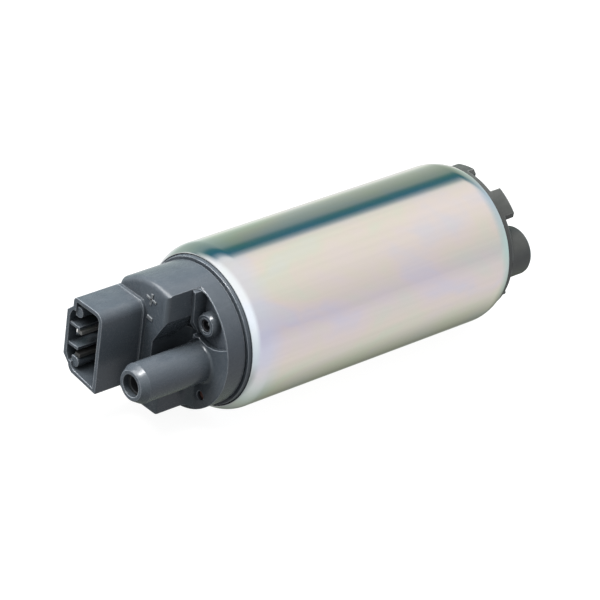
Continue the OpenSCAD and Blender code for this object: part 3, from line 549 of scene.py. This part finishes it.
def cover_skin():
    """The cover with the wide soft edge between the block's front and its side wall."""
    bm = bmesh.new()
    bm.from_mesh(NODES["outlet_cover"].data)
    bmesh.ops.remove_doubles(bm, verts=bm.verts, dist=1e-7)
    bm.verts.index_update()
    mesh = bpy.data.meshes.new("cover_skin")
    mesh.from_pydata([v.co.copy() for v in bm.verts], [],
                     [[v.index for v in face.verts] for face in bm.faces])
    bm.free()
    piece = new_piece("cover_skin", mesh, COVER, "outlet_cover")
    deep, wide, steps = 0.8, 1.6, 14
    start, side = BLOCK_FACE - deep, BLOCK_SIDE - wide
    arc = [(start + deep * math.sin(a), side + wide * math.cos(a))
           for a in (math.pi / 2 * i / steps for i in range(steps + 1))]
    clear = 0.6
    outline = [(start, BLOCK_SIDE + clear)] + arc + [(BLOCK_FACE + clear, side),
                                                     (BLOCK_FACE + clear, BLOCK_SIDE + clear)]
    low, high = 5.2, 17.5
    tool = bpy.data.objects.new("edge_cutter", prism("edge_cutter", outline, low, high))
    bpy.context.scene.collection.objects.link(tool)
    cut = piece.modifiers.new("soft_edge", "BOOLEAN")
    cut.operation, cut.object, cut.solver = "DIFFERENCE", tool, "EXACT"
    view = bpy.context.evaluated_depsgraph_get()
    piece.data = bpy.data.meshes.new_from_object(piece.evaluated_get(view))
    piece.modifiers.clear()
    bpy.data.objects.remove(tool)
    dress(piece, COVER)
    piece.data.shade_smooth()
    piece.data.set_sharp_from_angle(angle=math.radians(28))
    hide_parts("outlet_cover")


def slab(bm, centre, half, turn):
    """A box with a bevelled outer face; centre and half sizes in millimetres, turned round X."""
    place = Matrix.Translation(Vector(centre) * MM) @ Matrix.Rotation(turn, 4, "X")
    made = bmesh.ops.create_cube(bm, size=2.0, matrix=place @ Matrix.Diagonal(
        (*(h * MM for h in half), 1)))
    front = [e for e in {e for v in made["verts"] for e in v.link_edges}
             if all(v.co.x > centre[0] * MM for v in e.verts)]
    bmesh.ops.bevel(bm, geom=front, offset=0.06 * MM, segments=2, affect="EDGES")


def polarity_marks():
    """The raised plus and minus on the block's front face."""
    # The marks are the cover's plastic painted lighter, with pale edges: a painted highlight
    mark = moulded("raised_mark_painted_highlight", (0.13, 0.14, 0.15), (0.50, 0.53, 0.55), radius=0.22, film=0.0,
                   rough=(0.2, 0.3), drift=0.6)
    middle, half_depth, lean = BLOCK_FACE + 0.1, 0.15, math.radians(-8)
    for name, at, bars in (("plus_mark", (-0.2, 12.3), ((1.6, 0.30), (0.28, 1.45))),
                           ("minus_mark", (-0.15, 7.7), ((0.85, 0.42),))):
        mesh = bpy.data.meshes.new(name)
        bm = bmesh.new()
        for half_y, half_z in bars:
            slab(bm, (middle, *at), (half_depth, half_y, half_z), lean)
        bm.to_mesh(mesh)
        bm.free()
        new_piece(name, mesh, mark, "outlet_cover")


def hole_fill():
    """The dark plug at the bottom of the collar's blind hole."""
    red_brown = moulded("red_brown_fill", (0.055, 0.018, 0.014), (0.10, 0.04, 0.03),
                        rough=(0.3, 0.5), film=0.0)
    foot, radius, centre = 4.6, 1.08, 0.001
    profile = [(centre, foot), (radius, foot), (radius, 5.2), (0.9, 5.35), (0.5, 5.42),
               (centre, 5.44)]
    mesh = lathe("hole_fill", profile, red_brown, 48, HOLE_AT)
    new_piece("hole_fill", mesh, red_brown, "outlet_cover", 40)


def pocket_rib():
    """The thin wall that the relief valve's pocket leaves along the block's side."""
    foot = 2.2
    side = BLOCK_SIDE + 0.02
    line = [(side, 4.3), (side, 6.9), (side, 15.25), (5.85, 14.9), (5.7, 7.3), (5.9, 4.3)]
    crest = (6.05, 7.9, 8.3, 8.2, 7.6, 6.02)
    bm = bmesh.new()
    low = [bm.verts.new((foot * MM, y * MM, z * MM)) for y, z in line]
    high = [bm.verts.new((x * MM, y * MM, z * MM)) for (y, z), x in zip(line, crest)]
    bm.faces.new(low)
    bm.faces.new(high)
    for i in range(len(line)):
        n = (i + 1) % len(line)
        bm.faces.new((low[i], low[n], high[n], high[i]))
    bmesh.ops.triangulate(bm, faces=[f for f in bm.faces if len(f.verts) > 4])
    new_piece("pocket_rib", closed_mesh("pocket_rib", bm), COVER, "outlet_cover")


def pocket_floor():
    """The raised floor of the pocket round the relief valve's tube."""
    foot, floor = 2.1, 4.5
    outer_r, tube_r = 15.35, 2.8
    first, step, count = 19.0, 1.5, 36
    edge = [(outer_r * math.sin(a), outer_r * math.cos(a))
            for a in (math.radians(first + step * i) for i in range(count))]
    edge += [(13.9, 3.8), (11.5, 2.75), (9.3, 2.4), (7.3, 2.5), (5.8, 3.2), (5.0, 4.5),
             (4.9, 6.5), (4.9, 9.0), (4.9, 12.0)]
    tube_y, tube_z = RELIEF_AT
    turns = [math.atan2(z - tube_z, y - tube_y) for y, z in edge]
    tube = [(tube_y + tube_r * math.cos(a), tube_z + tube_r * math.sin(a)) for a in turns]
    bm = bmesh.new()
    low_out, low_in, high_out, high_in = (
        [bm.verts.new((x * MM, y * MM, z * MM)) for y, z in ring]
        for x, ring in ((foot, edge), (foot, tube), (floor, edge), (floor, tube)))
    for i in range(len(edge)):
        n = (i + 1) % len(edge)
        for a, b in ((high_out, high_in), (low_in, low_out), (low_out, high_out),
                     (high_in, low_in)):
            bm.faces.new((a[i], a[n], b[n], b[i]))
    # A lighter copy of the cover plastic for the pocket's floor: painted light, with less painted
    # shade in its nooks
    lighter = moulded("pocket_moulding_painted_lighter", (0.062, 0.072, 0.086), COVER_EDGE_HIGHLIGHT, rough=COVER_ROUGH,
                      film=0.03, specular=0.35, shade=0.15)
    new_piece("pocket_floor", closed_mesh("pocket_floor", bm), lighter, "outlet_cover")


def relief_rim():
    """The inner rim that narrows the relief valve's mouth."""
    foot, outer, inner, break_edge = COLLAR_FACE, 1.84, 1.45, 0.1
    profile = [(outer, foot), (outer, RELIEF_MOUTH), (inner + break_edge, RELIEF_MOUTH),
               (inner, RELIEF_MOUTH - break_edge), (inner, foot)]
    mesh = lathe("relief_rim", profile, COVER, 48, RELIEF_AT)
    new_piece("relief_rim", mesh, COVER, "outlet_cover", 40)


can_skin()
cover_skin()
polarity_marks()
hole_fill()
pocket_rib()
pocket_floor()
relief_rim()

# Studio

def studio_world():
    """A light tent, given by the direction in which a ray leaves.

    Round the axis runs a banded wall, which the can shows; beyond the outlet the tent is brighter,
    with one dark band on the far side; dull surfaces get soft light from above, the camera white.
    """
    world = bpy.data.worlds.new("light_tent")
    world.use_nodes = True
    bpy.context.scene.world = world
    tree = world.node_tree
    tree.nodes.clear()
    b = Bench(tree)
    ray = b.add("ShaderNodeLightPath").outputs
    leaving = b.add("ShaderNodeTexCoord").outputs["Generated"]
    way = b.add("ShaderNodeSeparateXYZ", i0=leaving).outputs
    turn = b.math("ARCTAN2", way[2], way[1])
    share = b.math("ADD", b.math("DIVIDE", turn, 2 * math.pi), 0.5)

    def ramp_place(degrees):
        return ((degrees + 180) % 360) / 360

    wall = [(-180, (0.47, 0.57, 0.51)), (-172, (0.62, 0.73, 0.66)), (-164, (0.88, 0.94, 0.91)),
            (-156, (0.88, 0.90, 0.89)), (-137, (0.62, 0.66, 0.62)), (-127, (0.31, 0.34, 0.30)),
            (-118, (0.20, 0.22, 0.18)), (-102, (0.33, 0.37, 0.31)), (-84, (0.50, 0.55, 0.49)),
            (-64, (0.73, 0.76, 0.74)), (-44, (0.84, 0.83, 0.84)), (-14, (0.82, 0.82, 0.90)),
            (4, (0.72, 0.72, 0.82)), (28, (0.81, 0.80, 0.82)), (60, (0.94, 0.94, 0.93)),
            (92, (1.0, 1.0, 0.99)), (108, (0.98, 0.98, 0.96)), (118, (0.90, 0.94, 0.94)),
            (124, (0.30, 0.42, 0.48)), (131, (0.03, 0.16, 0.23)), (140, (0.06, 0.19, 0.21)),
            (147, (0.24, 0.34, 0.33)), (160, (0.33, 0.43, 0.38)), (179.9, (0.47, 0.57, 0.51))]
    band = b.ramp(share, sorted((ramp_place(a), c) for a, c in wall))
    height = b.spread(way[2], -1, 1)
    far_front = b.ramp(height, [(0.0, (0.42, 0.42, 0.42)), (0.30, (0.42, 0.42, 0.42)),
                                (0.50, (0.90, 0.92, 0.92)), (0.60, (1.10, 1.13, 1.12)),
                                (0.64, (1.05, 1.08, 1.07)), (0.67, (0.24, 0.30, 0.31)),
                                (0.71, (0.22, 0.28, 0.30)), (0.76, (0.75, 0.79, 0.77)),
                                (0.85, (1.20, 1.24, 1.22))])
    near_front = b.ramp(height, [(0.0, (0.35, 0.37, 0.36)), (0.12, (0.45, 0.48, 0.47)),
                                 (0.26, (0.78, 0.86, 0.85)), (0.5, (0.98, 1.08, 1.06)),
                                 (0.7, (1.25, 1.32, 1.30)), (1.0, (1.25, 1.32, 1.30))])
    front = b.mix(b.spread(way[1], -0.58, -0.38), far_front, near_front)
    tent = b.mix(b.spread(way[0], -0.97, -0.74, 1, 0), band, (0.60, 0.78, 0.86))
    tent = b.mix(b.spread(way[0], 0.10, 0.38), tent, front)
    soft = b.ramp(height, [(0.0, (0.06, 0.06, 0.06)), (0.49, (0.06, 0.063, 0.066)),
                           (0.75, (0.76, 0.77, 0.78)), (1.0, (1.3, 1.3, 1.3))])
    light = b.mix(ray["Is Diffuse Ray"], tent, soft)
    seen = b.mix(ray["Is Camera Ray"], light, (1, 1, 1))
    sky = b.add("ShaderNodeBackground", Color=seen, Strength=1.0)
    b.feed(b.add("ShaderNodeOutputWorld").inputs["Surface"], sky)


def soft_lamp(name, at, towards, size, power, glossy=False):
    """A square lamp that shows in no reflection unless it is glossy."""
    lamp = bpy.data.lights.new(name, "AREA")
    lamp.shape = "SQUARE"
    lamp.size = size
    lamp.energy = power
    lamp.specular_factor = 1.0 if glossy else 0.0
    holder = bpy.data.objects.new(name, lamp)
    holder.location = at
    holder.rotation_euler = (Vector(towards) - Vector(at)).to_track_quat("-Z", "Y").to_euler()
    holder.visible_glossy = glossy
    bpy.context.scene.collection.objects.link(holder)
    return holder


def spark(name, way, size, power, pieces, gleam_only=True):
    """A round lamp a metre out along a direction, which lights a few pieces only."""
    lamp = soft_lamp(name, Vector(way).normalized(), (0, 0, 0), size, power, True)
    lamp.data.shape = "DISK"
    lamp.visible_diffuse = not gleam_only
    lamp.visible_camera = False
    lit = bpy.data.collections.new(name + "_lit")
    for piece in pieces:
        lit.objects.link(bpy.data.objects[piece])
    lamp.light_linking.receiver_collection = lit


def studio_floor(level):
    """A pale table under the pump; metal sees the light tent in its place."""
    mesh = bpy.data.meshes.new("studio_floor")
    half = 4.0
    corners = ((-half, -half), (half, -half), (half, half), (-half, half))
    mesh.from_pydata([(x, y, level) for x, y in corners], [], [(0, 1, 2, 3)])
    floor = bpy.data.objects.new("studio_floor", mesh)
    bpy.context.scene.collection.objects.link(floor)
    floor.visible_glossy = False
    material, b, shader = new_material("pale_table", Roughness=0.9)
    paper = b.spread(b.noise(b.place((0.05, 0.05, 0.05)), 1.0, 3.0), 0.3, 0.7, 0.26, 0.29)
    b.feed(shader.inputs["Base Color"], b.grey(paper))
    ray = b.add("ShaderNodeLightPath").outputs["Is Camera Ray"]
    shade = b.add("ShaderNodeBsdfDiffuse", Color=(0.16, 0.16, 0.16)).outputs[0]
    glow = b.add("ShaderNodeEmission", Color=(1, 1, 1), Strength=0.92).outputs[0]
    seen = b.add("ShaderNodeAddShader", i0=shade, i1=glow).outputs[0]
    mixed = b.add("ShaderNodeMixShader", i0=ray, i1=shader.outputs[0], i2=seen).outputs[0]
    b.feed(b.tree.nodes["Material Output"].inputs["Surface"], mixed)
    dress(floor, material)


def photo_camera():
    """The photograph's own viewpoint, fitted to the can's two rims."""
    lens = bpy.data.cameras.new("photo_camera")
    lens.sensor_width = 36.0
    lens.sensor_fit = "HORIZONTAL"
    lens.lens = 208.44
    lens.clip_start, lens.clip_end = 0.05, 20.0
    camera = bpy.data.objects.new("photo_camera", lens)
    right = Vector((-0.743178, 0.658845, 0.116657))
    up = Vector((-0.263463, -0.448418, 0.854113))
    back = Vector((0.615039, 0.604023, 0.506836))
    place = Vector((0.448398, 0.469449, 0.392411))
    turned = Matrix((right, up, back)).transposed().to_4x4()
    camera.matrix_world = Matrix.Translation(place) @ turned
    bpy.context.scene.collection.objects.link(camera)
    bpy.context.scene.camera = camera


bpy.context.scene.view_settings.view_transform = "Standard"
studio_world()
studio_floor(cad_box[0][2] - 0.05 * MM)
soft_lamp("top_box", (0.10, -0.05, 0.60), (-0.03, 0, 0), 0.5, 7.8)
spark("key_lamp", (0.55, -0.40, 0.73), 0.72, 14.0,
      ["cover_skin", "relief_rim", "pocket_rib", "pocket_floor", "pump_cover"], gleam_only=False)
spark("front_spark", (0.25, 0.05, 0.965), 0.36, 24.0, ["cover_skin", "relief_rim"])
photo_camera()
